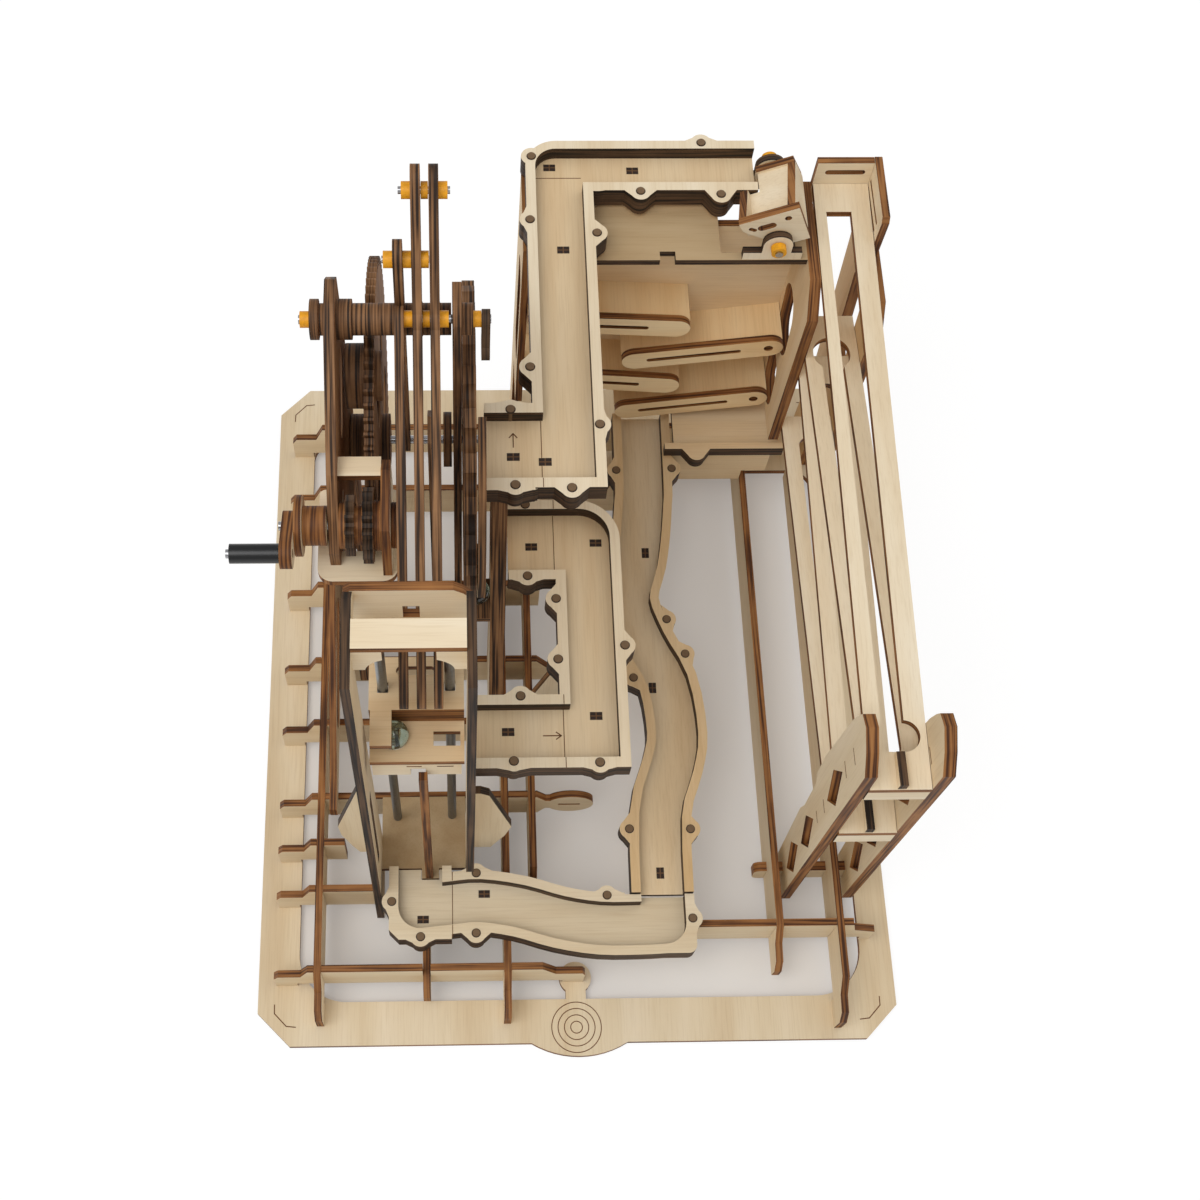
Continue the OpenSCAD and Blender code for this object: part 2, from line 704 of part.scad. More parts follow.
module lift_carriage() {
    color(pale) place() {
        // plate that holds the marble
        xy(car_z, ply) difference() {
            box2(53.3, 65.5, 85.2, 83);
            translate(cup) circle(r = marble_r - 0.4);
            box2(74.8, 71.1, 83.9, 76.2);
        }
        xz(80, ply) box2(53.3, car_z, 85.2, guide_z + ply);
        // guide plate with a finger over the marble
        xy(guide_z, ply) difference() {
            union() {
                box2(53.3, 80, 85.2, 99);
                box2(53.8, 67.4, 61, 81);
            }
            for (p = rods) translate(p) square(2 * rod_r + 0.2, center = true);
            strip([64, 94], [74, 94], 1.6);
        }
    }
}
module carriage_front() {
    color(pale) place() xz(65.6, ply) difference() {
        box2(53.9, 154.2, 84.2, car_z);
        box2(66.9, 153, 72, 160.4);
        box2(65.6, 162.3, 70.7, 163.2);
        box2(75.9, 162.3, 81.5, 163.2);
    }
}
module carried_marble() {
    color(steel) place() translate([cup[0], cup[1], car_z + ply + 2.2]) sphere(r = marble_r);
}

// gear tower
module waiting_marble() {
    color(steel) place() translate([90.9, 152, 110 + marble_r + 0.05]) sphere(r = marble_r);
}
module tower_frames() {
    color(wood) place() yz(fl_x, gear_t) difference() {
        polygon([[150, rib_top], [206, rib_top], [206, 200], [202, 252], [196.5, 258.5], [187, 259],
            [177, 256], [140, 232], [121.9, 212], [121.9, 203.5], [150, 203.5]]);
        translate(top_c) circle(r = pin_r + 0.02, $fn = 24);
        translate(wheel_c) circle(r = pin_r + run_gap, $fn = 24);
        translate(crank_c) circle(r = pin_r + run_gap, $fn = 24);
        strip([178, 60], [178, 130], 14);
        strip([170, 215], [186, 225], 6);
    }
    color(wood) place() yz(fr_x, ply) difference() {
        polygon([[160, rib_top], [202, rib_top], [202, 90], [198, 180], [197, 256], [193, 262],
            [184, 262], [180, 256], [179, 180], [170, 90]]);
        translate(top_c) circle(r = pin_r + 0.02, $fn = 24);
        translate(wheel_c) circle(r = pin_r + run_gap, $fn = 24);
        strip([186, 60], [188, 120], 8);
    }
    // low plate between the lever and the marble wheel
    color(wood) place() yz(73.6, ply) polygon([[158.5, rib_top], [184, rib_top], [184, 150],
        [178, 208], [172, 214], [165, 208], [160, 120]]);
}
module gearbox_plates() {
    color(pale) place() {
        xy(200.5, ply) difference() {
            rounded(37.3, 116, 63.8, 150, 5, 2);
            box2(45.2, 127, 58.9, 151);
        }
        yz(59, ply) difference() {
            polygon([[118, 203.5], [149, 203.5], [149, 226], [142, 232], [122, 228]]);
            translate(crank_c) circle(r = pin_r + run_gap, $fn = 24);
        }
        xy(226, ply) box2(fl_x + gear_t, 141.5, 59, 148.5);
    }
}
module top_axle() {
    color(steel) place() disc_x(top_c, 32.7, 94.9, pin_r, 0, $fn = 24);
}
module axle_rings() {
    color(burnt) place() {
        disc_x(top_c, 36.5, 39.3, 6.6, pin_r + 0.02);
        disc_x(top_c, 39.3, fl_x, 5.2, pin_r + 0.02);
        disc_x(top_c, fl_x + gear_t, 50, 6.6, pin_r + 0.02);
        disc_x(top_c, 50, 63.7, 5.2, pin_r + 0.02);
        disc_x(top_c, fr_x + ply, 89, 5.2, pin_r + 0.02);
    }
}
module release_leaf() {
    color(wood) place() yz(91.8, 2.8) difference() {
        union() {
            strip(top_c, [187.5, 236], 3.2);
            translate([187, 233.4]) circle(r = 4.4);
        }
        translate(top_c) circle(r = pin_r + run_gap, $fn = 24);
    }
}
module crank_shaft() {
    color(steel) place() {
        disc_x(crank_c, 25.5, 63.8, pin_r, 0, $fn = 24);
        disc_x(grip_c, 9.8, 30.9, pin_r, 0, $fn = 24);
    }
}
module crank_discs() {
    color(wood) place() {
        yz(27, 4) difference() {
            strip(crank_c, grip_c, 5);
            translate(crank_c) circle(r = pin_r + 0.02, $fn = 24);
            translate(grip_c) circle(r = pin_r + 0.02, $fn = 24);
        }
        disc_x(crank_c, 31, 33.4, 10, pin_r + 0.02);
        disc_x(crank_c, 33.4, 41.2, 6.5, pin_r + 0.02);
        disc_x(crank_c, 45.3, 47.3, 7.5, pin_r + 0.02);
        disc_x(crank_c, 50.3, gear_x, 6.4, pin_r + 0.02);
        disc_x(crank_c, gear_x + gear_t, 58.7, 8, pin_r + 0.02);
        disc_x(crank_c, 62.2, 63.7, 7.5, pin_r + 0.02);
    }
}
module crank_grip() {
    color(black) place() disc_x(grip_c, 11, 26.6, 3.2, pin_r + run_gap);
}
module gear_2d(n, m, c, turn) {
    rp = m * n / 2;
    translate(c) rotate(turn) {
        circle(r = rp - 1.2 * m, $fn = 4 * n);
        for (i = [0 : n - 1]) rotate(i * 360 / n)
            polygon([[rp - 1.35 * m, -0.86 * m], [rp, -0.58 * m], [rp + 0.8 * m, -0.3 * m],
                [rp + 0.8 * m, 0.3 * m], [rp, 0.58 * m], [rp - 1.35 * m, 0.86 * m]]);
    }
}
module crank_gears() {
    color(burnt) place() {
        yz(gear_x, gear_t) difference() {
            gear_2d(pinion_teeth, gear_m, crank_c, -mesh_a);
            translate(crank_c) circle(r = pin_r + 0.02, $fn = 24);
        }
        yz(47.3, ply) difference() {
            gear_2d(12, gear_m, crank_c, 10);
            translate(crank_c) circle(r = pin_r + 0.02, $fn = 24);
        }
    }
}
module wheel_axle() {
    color(steel) place() disc_x(wheel_c, 39, 95.6, pin_r, 0, $fn = 24);
}
module drive_gear() {
    cam = [wheel_c[0] - 3.6, wheel_c[1] + 49.8];
    color(burnt) place() {
        yz(gear_x, gear_t) difference() {
            gear_2d(gear_teeth, gear_m, wheel_c, 180 - mesh_a + 180 / gear_teeth);
            translate(wheel_c) circle(r = pin_r + 0.02, $fn = 24);
            for (a = [30 : 60 : 330]) translate(wheel_c) rotate(a) strip([27, 0], [38, 0], 9);
        }
        disc_x(wheel_c, 45.4, gear_x, 9.5, pin_r + 0.02);
        disc_x(wheel_c, gear_x + gear_t, 59.5, 9.5, pin_r + 0.02);
        disc_x(cam, 46.5, gear_x, 11, 3);
        disc_x(cam, gear_x + gear_t, 58.6, 8.5, 0);
    }
}
module marble_wheel() {
    color(burnt) place() {
        yz(wheel_x, twin) difference() {
            translate(wheel_c) circle(r = wheel_r, $fn = 144);
            for (i = [0 : pockets - 1]) translate(wheel_c) rotate(i * 360 / pockets)
                translate([wheel_r + 1, 0]) circle(r = 4.4, $fn = 32);
            translate(wheel_c) circle(r = pin_r + 0.02, $fn = 24);
            for (a = [0 : 60 : 300]) translate(wheel_c) rotate(a) strip([22, 0], [36, 0], 8);
        }
        disc_x(wheel_c, 78.7, 81.7, 10, pin_r + 0.02);
    }
}
pivots = [[207.5, 289.3], [193.7, 273], rock_p];
small_r = 1.2;
module lever_hole() {
    translate(top_c) circle(r = pin_r + run_gap, $fn = 24);
    for (p = pivots) translate(p) circle(r = small_r + 0.02, $fn = 24);
}
module levers() {
    tip = [209.5, 292];
    low = [80, 191.5];
    color(wood) place() {
        yz(64, ply) difference() {
            union() {
                strip([182, 181], [194, 276], 4.2);
                strip(rock_p, low, 4.2);
            }
            lever_hole();
        }
        for (x = [69.8, 75.4]) yz(x, ply) difference() {
            union() {
                strip(rock_p, tip, 4.6);
                strip(rock_p, low, 4.2);
                strip(rock_p, top_c, 5.5);
            }
            lever_hole();
        }
        // rings between the levers
        disc_x(top_c, 67, 69.8, 5.2, pin_r + run_gap);
        disc_x(top_c, 72.8, 75.4, 5.2, pin_r + run_gap);
        disc_x(top_c, 78.4, 82, 5.2, pin_r + run_gap);
    }
}
module lever_pins() {
    color(steel) place() {
        disc_x(pivots[0], 66, 82, small_r, 0, $fn = 24);
        disc_x(pivots[1], 60.5, 75.3, small_r, 0, $fn = 24);
        disc_x(pivots[2], 66, 81.9, small_r, 0, $fn = 24);
    }
}
module lever_caps() {
    color(cap_col) place() {
        for (p = [pivots[0], pivots[2]]) for (x = [67, 78.4])
            disc_x(p, x, x + 2.8, 2.7, small_r + 0.02);
        for (p = [pivots[0], pivots[2]]) disc_x(p, 73, 75.2, 2.7, small_r + 0.02);
        disc_x(pivots[1], 61, 64, 2.7, small_r + 0.02);
        disc_x(pivots[1], 67.1, 69.7, 2.7, small_r + 0.02);
        disc_x(pivots[1], 72.8, 75.2, 2.7, small_r + 0.02);
    }
}
module axle_caps() {
    color(cap_col) place() {
        disc_x(top_c, 33.2, 36.5, 2.7, pin_r + 0.02);
        disc_x(top_c, 89, 91.7, 2.7, pin_r + 0.02);
    }
}

base_plate();
cross_ribs();
long_ribs();
tower_outrigger();
front_brackets();
bracket_tie_bar();
front_end_plates();
zigzag_track_1();
zigzag_track_2();
zigzag_track_3();
zigzag_track_4();
back_support();
track_end_walls();
box_left_wall();
box_right_wall();
box_back_wall();
box_top();
box_front_panel();
box_channel();
box_ramps();
box_fences();
bucket();
bucket_pin();
bucket_caps();
bucket_bearings();
top_floor();
top_rails();
middle_floor();
middle_rails();
lower_floor();
lower_rails();
front_floor();
front_rails();
rail_pins();
track_posts();
lift_legs();
lift_panels();
lift_floor();
lift_rods();
lift_carriage();
carriage_front();
carried_marble();
waiting_marble();
tower_frames();
gearbox_plates();
top_axle();
axle_rings();
axle_caps();
release_leaf();
crank_shaft();
crank_discs();
crank_grip();
crank_gears();
wheel_axle();
drive_gear();
marble_wheel();
levers();
lever_pins();
lever_caps();
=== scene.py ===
import json
import math

import bmesh
import bpy
from mathutils import Matrix, Vector


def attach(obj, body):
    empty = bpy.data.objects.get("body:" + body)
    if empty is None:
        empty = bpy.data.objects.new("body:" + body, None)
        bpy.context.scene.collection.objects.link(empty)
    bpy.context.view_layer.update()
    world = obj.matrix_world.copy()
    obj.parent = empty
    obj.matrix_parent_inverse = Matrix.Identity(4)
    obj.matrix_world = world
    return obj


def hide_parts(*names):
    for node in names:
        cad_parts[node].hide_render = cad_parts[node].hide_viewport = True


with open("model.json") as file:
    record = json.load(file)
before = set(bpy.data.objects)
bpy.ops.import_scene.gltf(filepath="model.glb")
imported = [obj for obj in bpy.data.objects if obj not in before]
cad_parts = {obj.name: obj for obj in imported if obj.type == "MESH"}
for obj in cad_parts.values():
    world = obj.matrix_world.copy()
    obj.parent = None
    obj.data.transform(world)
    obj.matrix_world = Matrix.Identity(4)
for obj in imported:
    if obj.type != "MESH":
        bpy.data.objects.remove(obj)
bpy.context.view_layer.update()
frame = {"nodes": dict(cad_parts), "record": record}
nodes = frame["nodes"]

# middle of the footprint, seen from the front left corner of the base
originShift = (132.0, 155.35)


def place(x, y, z):
    return Vector(((x - originShift[0]) / 1000, (y - originShift[1]) / 1000, z / 1000))


# camera: spot in millimetres of the drawing, turns in degrees
cameraSet = {
    "spot": (82.7, -119.0, 711.5),
    "pitch": 65.8,
    "yaw": 3.64,
    "roll": 2.86,
    "lens": 51.03,
    "shiftX": 0.0833,
    "sensor": 36,
    "nearest": 0.01,
}


def makeCamera(s):
    pitch, yaw, roll = (math.radians(s[k]) for k in ("pitch", "yaw", "roll"))
    flat = math.cos(pitch)
    forward = Vector((math.sin(yaw) * flat, math.cos(yaw) * flat, -math.sin(pitch)))
    right = Vector((math.cos(yaw), -math.sin(yaw), 0))
    up = right.cross(forward)
    sideways = right * math.cos(roll) + up * math.sin(roll)
    upward = up * math.cos(roll) - right * math.sin(roll)
    bpy.ops.object.camera_add()
    cam = bpy.context.object
    cam.name = "mainCamera"
    turn = Matrix((sideways, upward, -forward)).transposed()
    cam.matrix_world = Matrix.Translation(place(*s["spot"])) @ turn.to_4x4()
    cam.data.sensor_width = s["sensor"]
    cam.data.lens = s["lens"]
    cam.data.shift_x = s["shiftX"]
    cam.data.clip_start = s["nearest"]
    bpy.context.scene.camera = cam


makeCamera(cameraSet)
print("camera placed")


# materials
class Nodes:
    def __init__(self, name):
        self.material = bpy.data.materials.new(name)
        self.material.use_nodes = True
        self.tree = self.material.node_tree
        self.shader = self.tree.nodes["Principled BSDF"]

    def add(self, kind, **values):
        n = self.tree.nodes.new(kind)
        for key, value in values.items():
            setattr(n, key, value)
        return n

    def link(self, a, b):
        self.tree.links.new(a, b)


def stretchedNoise(m, axis, fine, coarse, detail=4.0, rough=0.6, seed=0.0):
    coords = m.add("ShaderNodeTexCoord")
    mapping = m.add("ShaderNodeMapping")
    scale = [fine, fine, fine]
    scale["XYZ".index(axis)] = coarse
    mapping.inputs["Scale"].default_value = scale
    mapping.inputs["Location"].default_value = (seed, seed * 2, seed * 3)
    m.link(coords.outputs["Object"], mapping.inputs["Vector"])
    noise = m.add("ShaderNodeTexNoise")
    noise.inputs["Scale"].default_value = 1.0
    noise.inputs["Detail"].default_value = detail
    noise.inputs["Roughness"].default_value = rough
    m.link(mapping.outputs["Vector"], noise.inputs["Vector"])
    return noise.outputs["Fac"]


def ramp(m, source, stops):
    r = m.add("ShaderNodeValToRGB")
    while len(r.color_ramp.elements) < len(stops):
        r.color_ramp.elements.new(0.5)
    for e, (at, colour) in zip(r.color_ramp.elements, stops):
        e.position = at
        e.color = (*colour, 1)
    m.link(source, r.inputs["Fac"])
    return r.outputs["Color"]


def toLinear(*tone):
    # screen tone from 0 to 255 as the linear one a shader takes
    shares = (c / 255 for c in tone)
    return tuple(c / 12.92 if c <= 0.04045 else ((c + 0.055) / 1.055) ** 2.4 for c in shares)


def mixColour(m, factor, a, b, blend="MIX"):
    n = m.add("ShaderNodeMix", data_type="RGBA", blend_type=blend)
    for source, socket in ((factor, n.inputs[0]), (a, n.inputs[6]), (b, n.inputs[7])):
        if isinstance(source, (int, float)):
            socket.default_value = source
        elif isinstance(source, tuple):
            socket.default_value = (*source, 1)
        else:
            m.link(source, socket)
    return n.outputs[2]


# usual tone of a face, its darkest and its palest
woodTones = {
    "pale": [(238, 220, 189), (229, 207, 172), (243, 228, 201)],
    # painted shade: a warmer, darker tone than pale, for floors that lie in shade between rails and walls
    "floor": [(234, 207, 166), (224, 192, 148), (240, 217, 181)],
    "tan": [(229, 210, 177), (219, 196, 160), (236, 219, 190)],
    "warm": [(224, 192, 146), (212, 177, 127), (232, 204, 161)],
    "honey": [(244, 213, 164), (236, 200, 147), (249, 224, 180)],
    # painted shade: a darker tone for faces that lie in shadow
    "shade": [(190, 162, 122), (178, 148, 108), (200, 174, 136)],
    "brown": [(146, 102, 64), (122, 82, 50), (166, 120, 80)],
}
# burnt edges: lines between the layers, the layers, and the palest layer
edgeTones = {
    "warm": [(76, 44, 22), (128, 81, 41), (158, 108, 60)],
    "dark": [(33, 24, 17), (64, 47, 33), (94, 70, 49)],
    "tower": [(46, 32, 22), (106, 74, 47), (150, 110, 74)],
}
# noises as scale across, scale along, detail and roughness
grainSet = {
    "broad": (60, 7, 3, 0.55), "fine": (1300, 40, 3, 0.7), "fineShift": 4,
    "line": (0.86, 0.82, 0.76), "lineShare": 0.5,
}
layerSet = {
    "layers": (28, 1250, 1.5, 0.45), "smoke": (70, 60, 3, 0.6), "smokeShift": 2,
    "smokeDark": (0.68, 0.64, 0.6), "smokePale": (1.1, 1.08, 1.05), "smokeShare": 0.7,
    "fibre": (300, 900),
}
# bumps as strength and distance in metres
finishSet = {
    "faceRough": 0.62, "edgeRough": 0.7, "woodGloss": 0.3, "woodBump": (0.12, 0.0002),
    "plainNoise": (3, 0.6), "plainDark": 0.82, "plainPale": 1.12, "plainBump": (0.08, 0.0001),
}
# a face counts as broad when its normal is this close to the plate's axis
broadLimit = 0.9


def facePaint(m, tone, grainAxis, seed):
    base, low, high = (toLinear(*c) for c in woodTones[tone])
    broad = stretchedNoise(m, grainAxis, *grainSet["broad"], seed)
    colour = ramp(m, broad, [(0.3, low), (0.5, base), (0.7, high)])
    fine = stretchedNoise(m, grainAxis, *grainSet["fine"], seed + grainSet["fineShift"])
    lines = ramp(m, fine, [(0.34, grainSet["line"]), (0.52, (1, 1, 1))])
    return mixColour(m, grainSet["lineShare"], colour, lines, "MULTIPLY"), fine


def edgePaint(m, plateAxis, style, seed):
    layers = stretchedNoise(m, plateAxis, *layerSet["layers"], seed)
    dark, mid, light = (toLinear(*c) for c in edgeTones[style])
    colour = ramp(m, layers, [(0.38, dark), (0.48, mid), (0.62, light)])
    smoke = stretchedNoise(m, plateAxis, *layerSet["smoke"], seed + layerSet["smokeShift"])
    shade = ramp(m, smoke, [(0.32, layerSet["smokeDark"]), (0.62, layerSet["smokePale"])])
    return mixColour(m, layerSet["smokeShare"], colour, shade, "MULTIPLY")


def roughen(m, height, strength, distance):
    bump = m.add("ShaderNodeBump")
    bump.inputs["Strength"].default_value = strength
    bump.inputs["Distance"].default_value = distance
    m.link(height, bump.inputs["Height"])
    m.link(bump.outputs["Normal"], m.shader.inputs["Normal"])


def finishWood(m, colour, fine, rough):
    m.link(colour, m.shader.inputs["Base Color"])
    m.shader.inputs["Roughness"].default_value = rough
    m.shader.inputs["Specular IOR Level"].default_value = finishSet["woodGloss"]
    roughen(m, fine, *finishSet["woodBump"])
    return m.material


madeMaterials = {}


def plywood(tone, plateAxis, grainAxis, style, seed):
    key = f"plywood_{tone}_{plateAxis}{grainAxis}_{style}_{seed:g}"
    if key in madeMaterials:
        return madeMaterials[key]
    m = Nodes(key.replace(".", "_"))
    face, fine = facePaint(m, tone, grainAxis, seed)
    edge = edgePaint(m, plateAxis, style, seed)
    coords = m.add("ShaderNodeTexCoord")
    split = m.add("ShaderNodeSeparateXYZ")
    m.link(coords.outputs["Normal"], split.inputs[0])
    size = m.add("ShaderNodeMath", operation="ABSOLUTE")
    m.link(split.outputs[plateAxis], size.inputs[0])
    flat = m.add("ShaderNodeMath", operation="GREATER_THAN")
    flat.inputs[1].default_value = broadLimit
    m.link(size.outputs[0], flat.inputs[0])
    colour = mixColour(m, flat.outputs[0], edge, face)
    madeMaterials[key] = finishWood(m, colour, fine, finishSet["faceRough"])
    return madeMaterials[key]


def faceOnly(tone, grainAxis, seed):
    key = f"woodFace_{tone}_{grainAxis}_{seed:g}"
    if key not in madeMaterials:
        m = Nodes(key.replace(".", "_"))
        face, fine = facePaint(m, tone, grainAxis, seed)
        madeMaterials[key] = finishWood(m, face, fine, finishSet["faceRough"])
    return madeMaterials[key]


def edgeOnly(plateAxis, style, seed):
    key = f"woodEdge_{plateAxis}_{style}_{seed:g}"
    if key not in madeMaterials:
        m = Nodes(key.replace(".", "_"))
        edge = edgePaint(m, plateAxis, style, seed)
        fine = stretchedNoise(m, plateAxis, *layerSet["fibre"])
        madeMaterials[key] = finishWood(m, edge, fine, finishSet["edgeRough"])
    return madeMaterials[key]


def plain(name, colour, rough, metal=0.0, grain=800):
    m = Nodes(name)
    noise = stretchedNoise(m, "X", grain, grain, *finishSet["plainNoise"])
    base = toLinear(*colour)
    dark = tuple(v * finishSet["plainDark"] for v in base)
    pale = tuple(min(1, v * finishSet["plainPale"]) for v in base)
    m.link(ramp(m, noise, [(0.3, dark), (0.7, pale)]), m.shader.inputs["Base Color"])
    m.shader.inputs["Roughness"].default_value = rough
    m.shader.inputs["Metallic"].default_value = metal
    roughen(m, noise, *finishSet["plainBump"])
    return m.material


steel = plain("pinSteel", (176, 176, 178), 0.25, 1.0)
yellow = plain("yellowRubber", (240, 166, 12), 0.45)
black = plain("blackPlastic", (14, 14, 15), 0.3)
greyRod = plain("greyRod", (112, 116, 118), 0.32, 0.7)
dowel = plain("dowelBrown", (112, 78, 46), 0.75)
burntLine = plain("burntLine", (112, 72, 40), 0.8)
tabEnd = plain("tabEnd", (48, 31, 19), 0.75, grain=2600)
pinEnd = plain("pinEnd", (118, 92, 64), 0.7, grain=2600)

# tone, axis through the plate, axis along the grain, tones of the edges
nodeWoods = {
    "base_plate": ("tan", "Z", "Y", "warm"),
    "cross_ribs": ("tan", "Y", "X", "warm"),
    "long_ribs": ("tan", "X", "Y", "warm"),
    "tower_outrigger": ("tan", "X", "Y", "warm"),
    "front_brackets": ("tan", "X", "Z", "warm"),
    "bracket_tie_bar": ("tan", "Y", "X", "warm"),
    "zigzag_track_1": ("pale", "Z", "Y", "warm"),
    "zigzag_track_2": ("pale", "Z", "Y", "warm"),
    "zigzag_track_3": ("pale", "Z", "Y", "warm"),
    "zigzag_track_4": ("pale", "Z", "Y", "warm"),
    "back_support": ("warm", "X", "Z", "warm"),
    # these take the floor tone and its painted shade
    "box_left_wall": ("floor", "X", "Z", "warm"),
    "box_right_wall": ("floor", "X", "Z", "warm"),
    "box_back_wall": ("floor", "Y", "X", "warm"),
    # painted shade: the box top is darker with the shade tone
    "box_top": ("shade", "Z", "X", "dark"),
    "box_front_panel": ("floor", "Y", "X", "warm"),
    "box_channel": ("floor", "Z", "X", "dark"),
    "box_ramps": ("honey", "Z", "Y", "warm"),
    "box_fences": ("honey", "Y", "X", "warm"),
    "bucket_bearings": ("pale", "Y", "Z", "dark"),
    # the track floors take the floor tone, painted shade of their channels
    "top_floor": ("floor", "Z", "Y", "dark"),
    "top_rails": ("pale", "Z", "Y", "dark"),
    "middle_floor": ("floor", "Z", "Y", "dark"),
    "middle_rails": ("pale", "Z", "Y", "dark"),
    "lower_floor": ("floor", "Z", "Y", "dark"),
    "lower_rails": ("warm", "Z", "Y", "dark"),
    "front_floor": ("tan", "Z", "X", "dark"),
    "front_rails": ("tan", "Z", "X", "dark"),
    "lift_carriage": ("floor", "Z", "X", "warm"),
    "carriage_front": ("pale", "Y", "X", "warm"),
    "tower_frames": ("brown", "X", "Z", "tower"),
    "axle_rings": ("brown", "X", "Y", "tower"),
    "release_leaf": ("brown", "X", "Z", "dark"),
    "crank_discs": ("tan", "X", "Y", "warm"),
    "crank_gears": ("brown", "X", "Y", "dark"),
    "drive_gear": ("brown", "X", "Z", "tower"),
    "marble_wheel": ("brown", "X", "Z", "tower"),
    "levers": ("brown", "X", "Z", "tower"),
}
# neighbours in the list get another part of the grain
grainShifts = 5
for count, (name, look) in enumerate(nodeWoods.items()):
    nodes[name].data.materials.clear()
    nodes[name].data.materials.append(plywood(*look, float(count % grainShifts)))
for name, material in (
    ("bucket_pin", steel), ("lift_rods", greyRod), ("top_axle", steel), ("crank_shaft", steel),
    ("wheel_axle", steel), ("lever_pins", steel), ("bucket_caps", yellow), ("axle_caps", yellow),
    ("lever_caps", yellow), ("crank_grip", black), ("rail_pins", pinEnd),
):
    nodes[name].data.materials.clear()
    nodes[name].data.materials.append(material)
print("CAD nodes finished")


# plates that lie more than one way in one node: broad faces are told from thin edges
# widest edge of one plate and of a post, in metres
plateEdge = 0.0035
postEdge = 0.0063
# normals closer than this belong to one flat region
sameWay = 0.9995
# tone, axis along the grain, tones of the edges, widest edge
mixedNodes = {
    "front_end_plates": ("pale", "X", "dark", plateEdge),
    "track_end_walls": ("pale", "X", "warm", plateEdge),
    "bucket": ("pale", "X", "warm", plateEdge),
    "track_posts": ("tan", "Z", "tower", postEdge),
    "lift_legs": ("tan", "Z", "dark", plateEdge),
    "lift_panels": ("pale", "X", "warm", plateEdge),
    # painted shade: the lift floor is darker with the shade tone
    "lift_floor": ("shade", "Z", "warm", plateEdge),
    "gearbox_plates": ("pale", "X", "warm", plateEdge),
}


def regions(mesh):
    left = set(f.index for f in mesh.faces)
    while left:
        start = mesh.faces[left.pop()]
        group, queue = [start], [start]
        while queue:
            face = queue.pop()
            for e in face.edges:
                for other in e.link_faces:
                    if other.index in left and other.normal.dot(start.normal) > sameWay:
                        left.discard(other.index)
                        group.append(other)
                        queue.append(other)
        yield group


def slimmest(group):
    # the narrowest way across a flat region, square to one of its own edges
    n = group[0].normal
    spots = [v.co for f in group for v in f.verts]
    best, thin = 1.0, n
    ways = set()
    for f in group:
        for e in f.edges:
            d = (e.verts[1].co - e.verts[0].co).normalized().cross(n)
            key = tuple(round(abs(c), 2) for c in d)
            if key in ways or d.length < 0.5:
                continue
            ways.add(key)
            along = [p.dot(d) for p in spots]
            width = max(along) - min(along)
            if width < best:
                best, thin = width, d.copy()
    return best, thin


def dressMixed(name, tone, grainAxis, style, edgeWidth, body):
    piece = nodes[name].copy()
    piece.data = nodes[name].data.copy()
    piece.name = name + "_plates"
    bpy.context.collection.objects.link(piece)
    piece.parent = None
    piece.data.materials.clear()
    piece.data.materials.append(faceOnly(tone, grainAxis, 1.0))
    # edge materials follow the face's, one for each way through a plate
    for axis in "XYZ":
        piece.data.materials.append(edgeOnly(axis, style, 1.0))
    mesh = bmesh.new()
    mesh.from_mesh(piece.data)
    bmesh.ops.remove_doubles(mesh, verts=mesh.verts, dist=1e-6)
    mesh.faces.ensure_lookup_table()
    for group in regions(mesh):
        slim, thin = slimmest(group)
        index = 0
        if slim < edgeWidth:
            index = 1 + max(range(3), key=lambda k: abs(thin[k]))
        for f in group:
            f.material_index = index
    mesh.to_mesh(piece.data)
    mesh.free()
    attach(piece, body)
    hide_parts(name)


nodeBody = {n: b for b, members in frame["record"]["behaviour"]["bodies"].items() for n in members}
for name, look in mixedNodes.items():
    dressMixed(name, *look, nodeBody[name])
print("mixed plates dressed")


# marbles, in millimetres of the drawing
def makeGlass(s):
    m = Nodes("marbleGlass")
    m.shader.inputs["Base Color"].default_value = (*toLinear(*s["tint"]), 1)
    m.shader.inputs["Roughness"].default_value = s["rough"]
    m.shader.inputs["IOR"].default_value = s["bend"]
    m.shader.inputs["Transmission Weight"].default_value = 1.0
    return m.material


marbleSet = {
    "radius": 5.0, "carried": (61.6, 74.4, 170.2), "waiting": (90.9, 152.0, 115.05),
    "tint": (126, 134, 116), "rough": 0.02, "bend": 1.5,
}
marbleGlass = makeGlass(marbleSet)


def settle(piece, name, material, body):
    # place goes into the mesh, then the piece gets its finish and its body
    bpy.ops.object.select_all(action="DESELECT")
    piece.select_set(True)
    bpy.context.view_layer.objects.active = piece
    bpy.ops.object.transform_apply(location=True, rotation=True, scale=True)
    piece.name = name
    piece.data.materials.clear()
    piece.data.materials.append(material)
    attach(piece, body)


def makeMarble(name, node, spot, radius):
    bpy.ops.object.select_all(action="DESELECT")
    bpy.ops.mesh.primitive_uv_sphere_add(
        segments=64, ring_count=32, radius=radius / 1000, location=place(*spot))
    ball = bpy.context.object
    bpy.ops.object.shade_smooth()
    settle(ball, name, marbleGlass, nodeBody[node])
    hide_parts(node)


makeMarble("carriedBall", "carried_marble", marbleSet["carried"], marbleSet["radius"])
makeMarble("waitingBall", "waiting_marble", marbleSet["waiting"], marbleSet["radius"])
print("marbles polished")


# tops of the floors and of their rails; the lower track slopes, by degrees
topFloor, middleFloor, frontFloor = 177, 117, 31.5
topRail, middleRail, frontRail, lowerRail = 183, 123, 37.5, 39
lowerSlope = 3.8


# ends of the tabs that hold the floors, seen through their slots
tabSet = {"long": 4.6, "short": 3.1, "gap": 0.45, "rise": 0.12, "plateRise": 0.06, "sink": 0.3}
